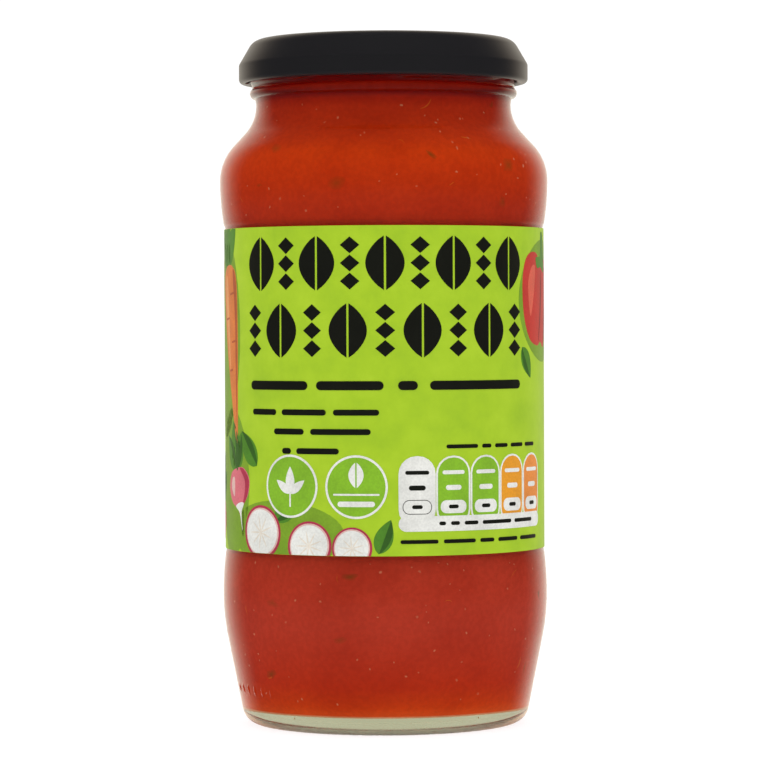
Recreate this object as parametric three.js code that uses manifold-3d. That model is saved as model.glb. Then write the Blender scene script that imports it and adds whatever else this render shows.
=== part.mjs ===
// Tomato sauce jar: a clear glass jar with a recessed label panel, its sauce, a wrapped paper
// label and a metal twist-off lid. Millimetres, +Z up. The origin is the centre of the bearing
// ring that the jar stands on, and the middle of the label faces -Y.
import * as THREE from "three";
import { mergeVertices } from "three/addons/utils/BufferGeometryUtils.js";
import Module from "manifold-3d";

const wasm = await Module();
wasm.setup();

// Driving dimensions of the jar
const TOTAL_HEIGHT = 157.2; // standing surface to the top of the lid
const SHOULDER_RADIUS = 37.7; // widest place, just above the label
const LOWER_BULGE_RADIUS = 37.3; // second widest place, just below the label
const PANEL_RADIUS = 36.58; // glass behind the label
const NECK_RADIUS = 29.3;
const BEAD_RADIUS = 30.75;
const FINISH_RADIUS = 30.2; // glass that the lid closes on
const BORE_RADIUS = 26.8;
const WALL = 2.5;
const BASE_THICKNESS = 4.2; // standing surface to the floor inside, near the wall

// Heights above the standing surface
const LOWER_BULGE_Z = 30.1;
const PANEL_BOTTOM_Z = 40.2;
const PANEL_TOP_Z = 113.9;
const SHOULDER_Z = 124.7; // where the shoulder starts to turn in
const BEAD_Z = 144.8; // middle of the round bead under the lid
const RIM_Z = 156.2; // mouth of the glass
const SAUCE_LEVEL_Z = 149.6; // hidden behind the lid's skirt

// Curves of the glass
const TAPER = THREE.MathUtils.degToRad(11.3); // how far the foot leans in
const SHOULDER_LEAN = THREE.MathUtils.degToRad(42.6);
const HEEL_CURVE = 4.2;
const FOOT_CURVE = 52; // below the lower bulge
const BULGE_TOP_CURVE = 75; // above it
const SHOULDER_FOOT_CURVE = 60; // below the shoulder
const SHOULDER_CURVE = 11.8;
const NECK_CURVE = 9.8;
const BEAD_CURVE = 1.25;
const PANEL_STEP_HEIGHT = 1.2; // the panel's ends step out to the bulges
const INNER_HEEL_CURVE = 6;
const RIM_CURVE = 1.4;
const STANDING_RING_WIDTH = 2.8;
const PUSH_UP_EDGE = 0.6; // step up from the standing ring
const PUSH_UP = 2.2; // height of the domed underside at its middle
const INNER_DOME = 1.2; // how far the floor inside is domed up

// Lid: tinplate with a rolled edge, four lugs and a dished button
const LID_RADIUS = 33.25;
const LID_BOTTOM_Z = 147.1;
const LID_SHELL = 0.35;
const LID_CURL = 0.98; // half the thickness of the rolled edge
const LID_SKIRT_TOP_Z = 151.0;
const LID_LEAN = THREE.MathUtils.degToRad(30.2);
const LID_BEND_CURVE = 1.35; // from the skirt into the leaning crown
const LID_EDGE_CURVE = 3.4; // from the crown into the top
const LID_RING_INNER_RADIUS = 26.3; // inside of the raised ring on top
const LID_PANEL_DROP = 0.8;
const LID_PANEL_SLOPE = 0.8; // width of the step between ring and panel
const BUTTON_RADIUS = 12.5;
const BUTTON_SLOPE = 1.2;
const BUTTON_DROP = 0.45;
const LUG_COUNT = 4;
const LUG_REACH = 0.7; // in from the rolled edge
const LUG_HALF_ANGLE = THREE.MathUtils.degToRad(11.5);

// Label: one sheet of paper wrapped once round the panel, its end lapped over its start
const LABEL_BOTTOM_Z = 40.5;
const LABEL_HEIGHT = 73.1;
const PAPER = 0.15;
const PAPER_GAP = 0.05;
const LABEL_LAP_STEPS = 2; // lap, counted in steps of the round outline

// Thread ridges on the glass, each low at one end and climbing to the other
const THREAD_COUNT = 4;
const THREAD_PATH_RADIUS = 30.2;
const THREAD_SECTION = 0.8;
const THREAD_SUNK_RADIUS = 29.1; // the ridge's ends sink into the wall
const THREAD_LOW_Z = 147.3;
const THREAD_HIGH_Z = 151.9;
const THREAD_ARC = THREE.MathUtils.degToRad(98);
const THREAD_LEVEL_SHARE = 0.45; // share of the ridge that runs level at its low end
const THREAD_END_SHARE = 0.12;
const THREAD_STEPS = 12;
const LUG_ALONG_THREAD = 0.85; // where along a ridge its lug sits

// Mould code: a row of raised dots low on the left side
const DOT_COUNT = 7;
const DOT_Z = 9.8;
const DOT_FIRST = THREE.MathUtils.degToRad(-53);
const DOT_STEP = THREE.MathUtils.degToRad(-5.8);
const DOT_SIZE = new THREE.Vector3(0.5, 0.5, 0.9);

const SAUCE_GAP = 0.3; // between the sauce and the glass
const SEGMENTS = 48;
const DOME_STEPS = 3;
const CLOSE = 1e-3; // points nearer than this are one point
const HALF_PI = Math.PI / 2;

// Points (radius, height) of an arc; angle 0 points away from the axis, a quarter turn points up.
function arc(centreR, centreZ, radius, from, to, steps) {
  const points = [];
  for (let i = 0; i <= steps; i++) {
    const angle = from + ((to - from) * i) / steps;
    points.push(new THREE.Vector2(centreR + radius * Math.cos(angle), centreZ + radius * Math.sin(angle)));
  }
  return points;
}

// Points between two radii and heights along half a cosine wave.
function ease(fromR, fromZ, toR, toZ, steps) {
  const points = [];
  for (let i = 0; i <= steps; i++) {
    const share = (1 - Math.cos((Math.PI * i) / steps)) / 2;
    points.push(new THREE.Vector2(fromR + (toR - fromR) * share, fromZ + ((toZ - fromZ) * i) / steps));
  }
  return points;
}

function smooth(share) {
  const t = THREE.MathUtils.clamp(share, 0, 1);
  return t * t * (3 - 2 * t);
}

// The jar's wall from the leaning foot up to the neck, moved inwards by depth.
function wallOutline(depth) {
  const stepRise = depth > 0 ? 1 : 2;
  const turnSteps = depth > 0 ? 3 : 4;
  const footR = LOWER_BULGE_RADIUS - FOOT_CURVE;
  const bulgeR = LOWER_BULGE_RADIUS - BULGE_TOP_CURVE;
  const bulgeTurn = Math.asin((PANEL_BOTTOM_Z - PANEL_STEP_HEIGHT - LOWER_BULGE_Z) / BULGE_TOP_CURVE);
  const bulge = arc(bulgeR, LOWER_BULGE_Z, BULGE_TOP_CURVE - depth, 0, bulgeTurn, stepRise);
  const riseR = SHOULDER_RADIUS - SHOULDER_FOOT_CURVE;
  const riseTurn = Math.asin((SHOULDER_Z - PANEL_TOP_Z - PANEL_STEP_HEIGHT) / SHOULDER_FOOT_CURVE);
  const rise = arc(riseR, SHOULDER_Z, SHOULDER_FOOT_CURVE - depth, -riseTurn, 0, stepRise + 1);
  const shoulderR = SHOULDER_RADIUS - SHOULDER_CURVE;
  const joinR = shoulderR + SHOULDER_CURVE * Math.cos(SHOULDER_LEAN);
  const joinZ = SHOULDER_Z + SHOULDER_CURVE * Math.sin(SHOULDER_LEAN);
  const neckTurnR = NECK_RADIUS + NECK_CURVE * (1 - Math.cos(SHOULDER_LEAN));
  const leanHeight = (joinR - neckTurnR) / Math.tan(SHOULDER_LEAN);
  const neckZ = joinZ + leanHeight + NECK_CURVE * Math.sin(SHOULDER_LEAN);
  return [
    ...arc(footR, LOWER_BULGE_Z, FOOT_CURVE - depth, -TAPER, 0, 2),
    ...bulge,
    ...ease(bulge.at(-1).x, bulge.at(-1).y, PANEL_RADIUS - depth, PANEL_BOTTOM_Z, stepRise),
    ...ease(PANEL_RADIUS - depth, PANEL_TOP_Z, rise[0].x, rise[0].y, stepRise),
    ...rise,
    ...arc(shoulderR, SHOULDER_Z, SHOULDER_CURVE - depth, 0, SHOULDER_LEAN, turnSteps),
    ...arc(NECK_RADIUS + NECK_CURVE, neckZ, NECK_CURVE + depth, Math.PI + SHOULDER_LEAN, Math.PI, turnSteps),
  ];
}

// The lean's line passes this radius at a height; the foot's arc starts where the line touches it.
function leanRadius(depth, z) {
  const touchR = LOWER_BULGE_RADIUS - FOOT_CURVE + (FOOT_CURVE - depth) * Math.cos(TAPER);
  const touchZ = LOWER_BULGE_Z - (FOOT_CURVE - depth) * Math.sin(TAPER);
  return touchR - (touchZ - z) * Math.tan(TAPER);
}

// Radius of the centre of a round corner that stands on a floor and runs on into the leaning foot.
function cornerCentre(depth, floorZ, curve) {
  const touchZ = floorZ + curve * (1 - Math.sin(TAPER));
  return leanRadius(depth, touchZ) - curve * Math.cos(TAPER);
}

// A domed floor from the axis out to a radius, its middle raised by dome.
function domedFloor(radius, z, dome) {
  const points = [];
  for (let i = 0; i < DOME_STEPS; i++) {
    const share = i / DOME_STEPS;
    points.push(new THREE.Vector2(radius * share, z + dome * (1 - share * share)));
  }
  return points;
}

// The floor of the hollow and its round corner up to the leaning foot, moved in by gap.
function floorOutline(gap) {
  const depth = WALL + gap;
  const curve = INNER_HEEL_CURVE - gap;
  const floorZ = BASE_THICKNESS + gap;
  const centreR = cornerCentre(depth, floorZ, curve);
  return [
    ...domedFloor(centreR, floorZ, INNER_DOME),
    ...arc(centreR, floorZ + curve, curve, -HALF_PI, -TAPER, 3),
  ];
}

// The domed underside, the step round it and the flat ring that the jar stands on.
function underside() {
  const ringInner = cornerCentre(0, 0, HEEL_CURVE) - STANDING_RING_WIDTH;
  const stepR = ringInner - 2 * PUSH_UP_EDGE;
  return [
    ...domedFloor(stepR, PUSH_UP_EDGE, PUSH_UP - PUSH_UP_EDGE),
    new THREE.Vector2(stepR, PUSH_UP_EDGE),
    new THREE.Vector2(ringInner, 0),
  ];
}

// Turns a profile of (radius, height) points about +Z.
function turned(profile) {
  const kept = profile.filter((p, i) => i === 0 || p.distanceTo(profile[i - 1]) > CLOSE);
  return new THREE.LatheGeometry(kept, SEGMENTS).rotateX(HALF_PI);
}

function solidOf(geometry) {
  const bare = geometry.index ? geometry.toNonIndexed() : geometry.clone();
  const positions = new THREE.BufferGeometry().setAttribute("position", bare.getAttribute("position"));
  const merged = mergeVertices(positions, CLOSE);
  const mesh = new wasm.Mesh({
    numProp: 3,
    vertProperties: merged.attributes.position.array,
    triVerts: new Uint32Array(merged.index.array),
  });
  return new wasm.Manifold(mesh);
}

function geometryOf(solid) {
  const mesh = solid.getMesh();
  const geometry = new THREE.BufferGeometry();
  geometry.setAttribute("position", new THREE.BufferAttribute(mesh.vertProperties, mesh.numProp));
  geometry.setIndex(new THREE.BufferAttribute(mesh.triVerts, 1));
  geometry.computeVertexNormals();
  return geometry;
}

// A point at an angle from the front, counted towards +X.
function around(radius, angle, z) {
  return new THREE.Vector3(radius * Math.sin(angle), -radius * Math.cos(angle), z);
}

function threadRidge(lowAngle) {
  const points = [];
  for (let i = 0; i <= THREAD_STEPS; i++) {
    const t = i / THREAD_STEPS;
    const rise = smooth((t - THREAD_LEVEL_SHARE) / (1 - THREAD_LEVEL_SHARE));
    const out = smooth(Math.min(t, 1 - t) / THREAD_END_SHARE);
    const radius = THREAD_SUNK_RADIUS + (THREAD_PATH_RADIUS - THREAD_SUNK_RADIUS) * out;
    points.push(around(radius, lowAngle + THREAD_ARC * t, THREAD_LOW_Z + (THREAD_HIGH_Z - THREAD_LOW_Z) * rise));
  }
  const section = new THREE.Shape().absarc(0, 0, THREAD_SECTION, 0, 2 * Math.PI, false);
  return new THREE.ExtrudeGeometry(section, {
    curveSegments: 5,
    steps: THREAD_STEPS,
    bevelEnabled: false,
    extrudePath: new THREE.CatmullRomCurve3(points),
  });
}

function mouldDot(angle) {
  const place = around(leanRadius(0, DOT_Z), angle, DOT_Z);
  return new THREE.SphereGeometry(1, 6, 6)
    .scale(DOT_SIZE.x, DOT_SIZE.y, DOT_SIZE.z)
    .translate(place.x, place.y, place.z);
}

// The glass from the neck up: bead, threaded wall, round rim and the mouth's inner edge.
function finish() {
  const innerCurve = RIM_CURVE / 2;
  return [
    ...arc(BEAD_RADIUS - BEAD_CURVE, BEAD_Z, BEAD_CURVE, -HALF_PI, HALF_PI, 6).filter((p) => p.x > NECK_RADIUS),
    new THREE.Vector2(FINISH_RADIUS, BEAD_Z + BEAD_CURVE),
    ...arc(FINISH_RADIUS - RIM_CURVE, RIM_Z - RIM_CURVE, RIM_CURVE, 0, HALF_PI, 3),
    ...arc(BORE_RADIUS + innerCurve, RIM_Z - innerCurve, innerCurve, HALF_PI, Math.PI, 2),
  ];
}

function jarGlass() {
  let glass = solidOf(turned([
    ...underside(),
    ...arc(cornerCentre(0, 0, HEEL_CURVE), HEEL_CURVE, HEEL_CURVE, -HALF_PI, -TAPER, 4),
    ...wallOutline(0),
    ...finish(),
    ...wallOutline(WALL).reverse(),
    ...floorOutline(0).reverse(),
  ]));
  for (let i = 0; i < THREAD_COUNT; i++)
    glass = glass.add(solidOf(threadRidge((2 * Math.PI * i) / THREAD_COUNT)));
  for (let i = 0; i < DOT_COUNT; i++)
    glass = glass.add(solidOf(mouldDot(DOT_FIRST + DOT_STEP * i)));
  return geometryOf(glass);
}

function sauce() {
  const wall = wallOutline(WALL + SAUCE_GAP);
  return turned([
    ...floorOutline(SAUCE_GAP),
    ...wall,
    new THREE.Vector2(BORE_RADIUS - SAUCE_GAP, SAUCE_LEVEL_Z),
    new THREE.Vector2(0, SAUCE_LEVEL_Z),
  ]);
}

// One face of the lid's sheet from the middle out to the skirt, sunk by depth below its top face.
function lidFace(depth) {
  const ringZ = TOTAL_HEIGHT - depth;
  const panelZ = ringZ - LID_PANEL_DROP;
  const ringR = LID_RING_INNER_RADIUS + depth / 2;
  const bendR = LID_RADIUS - LID_BEND_CURVE;
  const edgeZ = TOTAL_HEIGHT - LID_EDGE_CURVE;
  const turnSteps = depth > 0 ? 2 : 3;
  const crownFootR = bendR + LID_BEND_CURVE * Math.cos(LID_LEAN);
  const crownFootZ = LID_SKIRT_TOP_Z + LID_BEND_CURVE * Math.sin(LID_LEAN);
  const crownTopZ = edgeZ + LID_EDGE_CURVE * Math.sin(LID_LEAN);
  const crownTopR = crownFootR - (crownTopZ - crownFootZ) * Math.tan(LID_LEAN);
  const edgeR = crownTopR - LID_EDGE_CURVE * Math.cos(LID_LEAN);
  return [
    new THREE.Vector2(0, panelZ - BUTTON_DROP),
    new THREE.Vector2(BUTTON_RADIUS - BUTTON_SLOPE, panelZ - BUTTON_DROP),
    new THREE.Vector2(BUTTON_RADIUS, panelZ),
    new THREE.Vector2(ringR - LID_PANEL_SLOPE, panelZ),
    new THREE.Vector2(ringR, ringZ),
    ...arc(edgeR, edgeZ, LID_EDGE_CURVE - depth, HALF_PI, LID_LEAN, turnSteps),
    ...arc(bendR, LID_SKIRT_TOP_Z, LID_BEND_CURVE - depth, LID_LEAN, 0, turnSteps),
  ];
}

// How far an angle from the front is from the middle of the nearest lug.
function offLug(angle) {
  const pitch = (2 * Math.PI) / LUG_COUNT;
  const turn = THREE.MathUtils.euclideanModulo(angle - THREAD_ARC * LUG_ALONG_THREAD, pitch);
  return Math.min(turn, pitch - turn);
}

// The rolled edge's inner side is pressed in towards the axis at each lug.
function lid() {
  const curlR = LID_RADIUS - LID_CURL;
  const metal = turned([
    ...lidFace(LID_SHELL),
    new THREE.Vector2(LID_RADIUS - LID_SHELL, LID_BOTTOM_Z + 2 * LID_CURL),
    ...arc(curlR, LID_BOTTOM_Z + LID_CURL, LID_CURL, HALF_PI, 2 * Math.PI, 6),
    ...lidFace(0).reverse(),
  ]);
  const points = metal.getAttribute("position");
  const point = new THREE.Vector3();
  for (let i = 0; i < points.count; i++) {
    point.fromBufferAttribute(points, i);
    const radius = Math.hypot(point.x, point.y);
    const angle = Math.atan2(point.x, -point.y);
    const curled = point.z < LID_BOTTOM_Z + 2 * LID_CURL - CLOSE && radius < curlR - CLOSE;
    if (!curled || offLug(angle) > LUG_HALF_ANGLE) continue;
    const pressed = around(radius - LUG_REACH, angle, point.z);
    points.setXYZ(i, pressed.x, pressed.y, pressed.z);
  }
  return metal;
}

// The wrapped sheet seen from above. Its last steps lie over its first ones.
function label() {
  const outline = [];
  const inner = [];
  const step = (2 * Math.PI) / SEGMENTS;
  const steps = SEGMENTS + LABEL_LAP_STEPS;
  for (let i = 0; i <= steps; i++) {
    const lapped = i >= SEGMENTS ? PAPER + PAPER_GAP : 0;
    const radius = PANEL_RADIUS + PAPER_GAP + lapped;
    const angle = HALF_PI + (i - LABEL_LAP_STEPS) * step;
    outline.push(new THREE.Vector2((radius + PAPER) * Math.cos(angle), (radius + PAPER) * Math.sin(angle)));
    inner.push(new THREE.Vector2(radius * Math.cos(angle), radius * Math.sin(angle)));
  }
  const sheet = new THREE.Shape([...outline, ...inner.reverse()]);
  return new THREE.ExtrudeGeometry(sheet, { depth: LABEL_HEIGHT, bevelEnabled: false });
}

function piece(name, geometry, colour, roughness, metalness) {
  const mesh = new THREE.Mesh(geometry, new THREE.MeshStandardMaterial({ color: colour, roughness, metalness }));
  mesh.name = name;
  return mesh;
}

const jar = new THREE.Group();
jar.add(piece("glass_jar", jarGlass(), 0xdfe8dc, 0.05, 0));
jar.add(piece("tomato_sauce", sauce(), 0xa52a14, 0.45, 0));
jar.add(piece("metal_lid", lid(), 0x222226, 0.4, 0.2));

const wrap = piece("paper_label", label(), 0xa8cf2c, 0.5, 0);
wrap.position.z = LABEL_BOTTOM_Z;
jar.add(wrap);

export default jar;
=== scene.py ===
"""A jar of tomato sauce: clear glass, the sauce in it, a printed paper label and a black metal lid.

Metres, +Z up. The jar stands on the floor at the origin and the label's front faces -Y.
Outlines are worked out in millimetres and turned to metres where a mesh is made."""

import math
import random
from collections import namedtuple

import bmesh
import bpy
from mathutils import Matrix, Vector, noise


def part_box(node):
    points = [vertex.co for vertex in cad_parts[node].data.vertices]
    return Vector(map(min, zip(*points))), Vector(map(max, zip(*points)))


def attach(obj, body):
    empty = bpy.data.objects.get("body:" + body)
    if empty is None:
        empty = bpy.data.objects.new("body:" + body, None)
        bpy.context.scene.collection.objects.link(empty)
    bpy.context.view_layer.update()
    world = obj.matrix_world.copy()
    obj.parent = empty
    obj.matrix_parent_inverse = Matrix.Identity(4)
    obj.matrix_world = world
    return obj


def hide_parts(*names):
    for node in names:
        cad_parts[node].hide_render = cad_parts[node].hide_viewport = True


bl_info = {
    "name": "Tomato Sauce Jar",
    "version": (1, 0, 0),
    "blender": (4, 5, 0),
    "location": "3D View > Sidebar > Sauce Jar",
    "description": "Builds the glass, sauce, label and lid of a jar of tomato sauce",
    "category": "Add Mesh",
}

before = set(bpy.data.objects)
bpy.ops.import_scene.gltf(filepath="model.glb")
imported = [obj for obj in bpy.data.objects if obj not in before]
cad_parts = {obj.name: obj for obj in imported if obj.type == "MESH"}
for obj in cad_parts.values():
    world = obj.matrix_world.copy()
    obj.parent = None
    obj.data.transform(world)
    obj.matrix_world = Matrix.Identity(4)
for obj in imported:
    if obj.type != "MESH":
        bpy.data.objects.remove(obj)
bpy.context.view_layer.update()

MM = 0.001
CLOSE = 1e-4
HALF_PI = math.pi / 2
TURN = 2 * math.pi

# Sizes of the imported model, in millimetres
_, glass_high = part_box("glass_jar")
lid_low, lid_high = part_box("metal_lid")
label_low, label_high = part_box("paper_label")
SHOULDER_RADIUS = glass_high.x / MM
RIM_Z = glass_high.z / MM
TOTAL_HEIGHT = lid_high.z / MM
LID_RADIUS = lid_high.x / MM
LID_BOTTOM_Z = lid_low.z / MM
LABEL_BOTTOM_Z = label_low.z / MM
LABEL_TOP_Z = label_high.z / MM

# Other sizes of the glass, in millimetres
LOWER_BULGE_RADIUS = 37.3
PANEL_RADIUS = 36.58
NECK_RADIUS = 29.3
BEAD_RADIUS = 30.75
FINISH_RADIUS = 30.2
BORE_RADIUS = 26.8
BASE_THICKNESS = 4.2
LOWER_BULGE_Z = 30.1
PANEL_BOTTOM_Z = 40.2
PANEL_TOP_Z = 113.9
SHOULDER_Z = 124.7
BEAD_Z = 144.8
SAUCE_LEVEL_Z = 149.6
SAUCE_LIFT = 0.06
SAUCE_FLOOR_INSET = 0.4
TAPER = math.radians(11.3)
SHOULDER_LEAN = math.radians(42.6)
HEEL_CURVE = 4.2
FOOT_CURVE = 52.0
BULGE_TOP_CURVE = 75.0
SHOULDER_FOOT_CURVE = 60.0
SHOULDER_CURVE = 11.8
NECK_CURVE = 9.8
BEAD_CURVE = 1.25
PANEL_STEP_HEIGHT = 1.2
INNER_HEEL_CURVE = 6.0
RIM_CURVE = 1.4
STANDING_RING_WIDTH = 2.8
PUSH_UP_EDGE = 0.6
PUSH_UP = 2.2
STIPPLE = 0.2
STIPPLE_LENGTH = 0.9
MOULD_WAVES = ((7.0, 0.16), (2.2, 0.05))
MATT_LOW = 0.8
MATT_HIGH = 2.6
INNER_DOME = 1.2

# Thread ridges: each starts level and low, then climbs under the lid
THREAD_COUNT = 4
THREAD_HEIGHT = 0.78
THREAD_HALF_WIDTH = 1.05
THREAD_LOW_Z = 147.3
THREAD_HIGH_Z = 151.9
THREAD_ARC = math.radians(98)
THREAD_LEVEL_SHARE = 0.45
THREAD_END_SHARE = 0.12
LUG_ALONG_THREAD = 0.85

# Mould code: raised dots low on the left side
DOT_COUNT = 6
DOT_Z = 8.8
DOT_FIRST = math.radians(-49.1)
DOT_STEP = math.radians(-5.6)
DOT_HALF_WIDTH = 0.62
DOT_HALF_HEIGHT = 1.05
DOT_RISE = 0.2

# Lid
LID_SHELL = 0.35
LID_CURL = 0.98
LID_SKIRT_TOP_Z = 151.0
LID_LEAN = math.radians(30.2)
LID_BEND_CURVE = 1.35
LID_EDGE_CURVE = 3.4
LID_RING_INNER_RADIUS = 26.3
LID_PANEL_DROP = 0.8
LID_PANEL_SLOPE = 0.8
BUTTON_RADIUS = 12.5
BUTTON_SLOPE = 1.2
BUTTON_DROP = 0.45
LUG_REACH = 0.7
LUG_HALF_ANGLE = math.radians(9.5)
LUG_EASE = math.radians(1.5)

# Label: one sheet, its end lapped over its start at the back
PAPER = 0.15
PAPER_GAP = 0.05
PAPER_INNER_RADIUS = PANEL_RADIUS + PAPER_GAP
PAPER_OUTER_RADIUS = PAPER_INNER_RADIUS + PAPER
LAP_START = math.radians(165)
LAP_END = math.radians(180)
LAP_EASE = math.radians(4)
INK = 0.012
INK_SUNK = 0.02
PRINT_MARGIN = 0.05


def srgb(hex_colour):
    """A colour written as sRGB hex, as linear red, green, blue and alpha."""
    parts = [int(hex_colour[i : i + 2], 16) / 255 for i in (1, 3, 5)]
    linear = [c / 12.92 if c <= 0.04045 else ((c + 0.055) / 1.055) ** 2.4 for c in parts]
    return (*linear, 1.0)


# Outlines: lists of (radius, height) in millimetres


def arc(centre_r, centre_z, radius, start, end, steps):
    """Angle 0 points away from the axis and a quarter turn points up."""
    turns = [start + (end - start) * i / steps for i in range(steps + 1)]
    return [(centre_r + radius * math.cos(a), centre_z + radius * math.sin(a)) for a in turns]


def shares(steps):
    return [i / steps for i in range(steps + 1)]


def line(start, end, steps):
    return [tuple(a + (b - a) * t for a, b in zip(start, end)) for t in shares(steps)]


def ease(start, end, steps):
    """Half a cosine wave in radius, level in height."""
    points = []
    for i in range(steps + 1):
        share = (1 - math.cos(math.pi * i / steps)) / 2
        points.append((start[0] + (end[0] - start[0]) * share, start[1] + (end[1] - start[1]) * i / steps))
    return points


def smooth(share):
    t = min(max(share, 0.0), 1.0)
    return t * t * (3 - 2 * t)


def foot_touch(depth):
    """Where the leaning foot runs into the lower bulge's curve."""
    radius = LOWER_BULGE_RADIUS - FOOT_CURVE + (FOOT_CURVE - depth) * math.cos(TAPER)
    return radius, LOWER_BULGE_Z - (FOOT_CURVE - depth) * math.sin(TAPER)


def lean_radius(depth, z):
    radius, touch_z = foot_touch(depth)
    return radius - (touch_z - z) * math.tan(TAPER)


def corner_centre(depth, floor_z, curve):
    """Radius of the centre of a round corner that runs on into the leaning foot."""
    touch_z = floor_z + curve * (1 - math.sin(TAPER))
    return lean_radius(depth, touch_z) - curve * math.cos(TAPER)


def wall_outline(depth, fine):
    """The wall from the leaning foot up to the neck, moved inwards by depth."""
    bulge_turn = math.asin((PANEL_BOTTOM_Z - PANEL_STEP_HEIGHT - LOWER_BULGE_Z) / BULGE_TOP_CURVE)
    bulge_r = LOWER_BULGE_RADIUS - BULGE_TOP_CURVE
    bulge = arc(bulge_r, LOWER_BULGE_Z, BULGE_TOP_CURVE - depth, 0, bulge_turn, 4 * fine)
    rise_turn = math.asin((SHOULDER_Z - PANEL_TOP_Z - PANEL_STEP_HEIGHT) / SHOULDER_FOOT_CURVE)
    rise_r = SHOULDER_RADIUS - SHOULDER_FOOT_CURVE
    rise = arc(rise_r, SHOULDER_Z, SHOULDER_FOOT_CURVE - depth, -rise_turn, 0, 5 * fine)
    join_r = SHOULDER_RADIUS - SHOULDER_CURVE * (1 - math.cos(SHOULDER_LEAN))
    join_z = SHOULDER_Z + SHOULDER_CURVE * math.sin(SHOULDER_LEAN)
    neck_turn_r = NECK_RADIUS + NECK_CURVE * (1 - math.cos(SHOULDER_LEAN))
    lean_height = (join_r - neck_turn_r) / math.tan(SHOULDER_LEAN)
    neck_z = join_z + lean_height + NECK_CURVE * math.sin(SHOULDER_LEAN)
    shoulder_r = SHOULDER_RADIUS - SHOULDER_CURVE
    neck_r = NECK_RADIUS + NECK_CURVE
    return [
        *arc(LOWER_BULGE_RADIUS - FOOT_CURVE, LOWER_BULGE_Z, FOOT_CURVE - depth, -TAPER, 0, 6 * fine),
        *bulge,
        *ease(bulge[-1], (PANEL_RADIUS - depth, PANEL_BOTTOM_Z), 4 * fine),
        *ease((PANEL_RADIUS - depth, PANEL_TOP_Z), rise[0], 4 * fine),
        *rise,
        *arc(shoulder_r, SHOULDER_Z, SHOULDER_CURVE - depth, 0, SHOULDER_LEAN, 8 * fine),
        *arc(neck_r, neck_z, NECK_CURVE + depth, math.pi + SHOULDER_LEAN, math.pi, 8 * fine),
    ]


def domed_floor(radius, z, dome, steps):
    """From the middle out to, but not at, the given radius."""
    return [(radius * t, z + dome * (1 - t * t)) for t in shares(steps)[:-1]]


def floor_outline(depth, floor_z, curve):
    """The floor inside and its round corner up to the leaning foot."""
    centre = corner_centre(depth, floor_z, curve)
    return [
        *domed_floor(centre, floor_z, INNER_DOME, 8),
        *arc(centre, floor_z + curve, curve, -HALF_PI, -TAPER, 14),
    ]


def underside():
    ring_inner = corner_centre(0, 0, HEEL_CURVE) - STANDING_RING_WIDTH
    step_r = ring_inner - 2 * PUSH_UP_EDGE
    return [
        *domed_floor(step_r, PUSH_UP_EDGE, PUSH_UP - PUSH_UP_EDGE, 36),
        *ease((step_r, PUSH_UP_EDGE), (ring_inner, 0), 6),
        *line((ring_inner, 0), (ring_inner + STANDING_RING_WIDTH, 0), 7)[1:],
    ]


def finish_outline():
    """The glass from the neck up: bead, threaded wall, round rim and the mouth's inner edge."""
    inner = RIM_CURVE / 2
    bead = arc(BEAD_RADIUS - BEAD_CURVE, BEAD_Z, BEAD_CURVE, -HALF_PI, HALF_PI, 18)
    thread_rows = 40
    return [
        *[p for p in bead if p[0] > min(NECK_RADIUS, FINISH_RADIUS)],
        *line((FINISH_RADIUS, BEAD_Z + BEAD_CURVE), (FINISH_RADIUS, RIM_Z - RIM_CURVE), thread_rows),
        *arc(FINISH_RADIUS - RIM_CURVE, RIM_Z - RIM_CURVE, RIM_CURVE, 0, HALF_PI, 6),
        *arc(BORE_RADIUS + inner, RIM_Z - inner, inner, HALF_PI, math.pi, 4),
    ]


def glass_outline(wall):
    heel = arc(corner_centre(0, 0, HEEL_CURVE), HEEL_CURVE, HEEL_CURVE, -HALF_PI, -TAPER, 20)
    return [
        *underside(),
        *heel,
        *line(heel[-1], foot_touch(0), 46),
        *wall_outline(0, 2),
        *finish_outline(),
        *reversed(wall_outline(wall, 1)),
        *reversed(floor_outline(wall, BASE_THICKNESS, INNER_HEEL_CURVE)),
    ]


def sauce_outline(wall, reach):
    """The hollow's shape, reaching into the glass by a hair so that no air shows at the wall. Only the
    flat bottom stays off the glass by a hair, because glass mirrors light that meets it at a low
    angle from inside, which keeps the thick base clear to look into from the side."""
    sides = floor_outline(wall - reach, BASE_THICKNESS - reach, INNER_HEEL_CURVE + reach)
    centre = corner_centre(wall, BASE_THICKNESS, INNER_HEEL_CURVE)
    flat_r = centre - SAUCE_FLOOR_INSET
    flat_z = BASE_THICKNESS + SAUCE_LIFT
    return [
        *domed_floor(flat_r, flat_z, INNER_DOME, 8),
        (flat_r, flat_z),
        *[p for p in sides if p[0] > centre + SAUCE_FLOOR_INSET / 2],
        *wall_outline(wall - reach, 2),
        (BORE_RADIUS + reach, SAUCE_LEVEL_Z),
        (0, SAUCE_LEVEL_Z),
    ]


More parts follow.
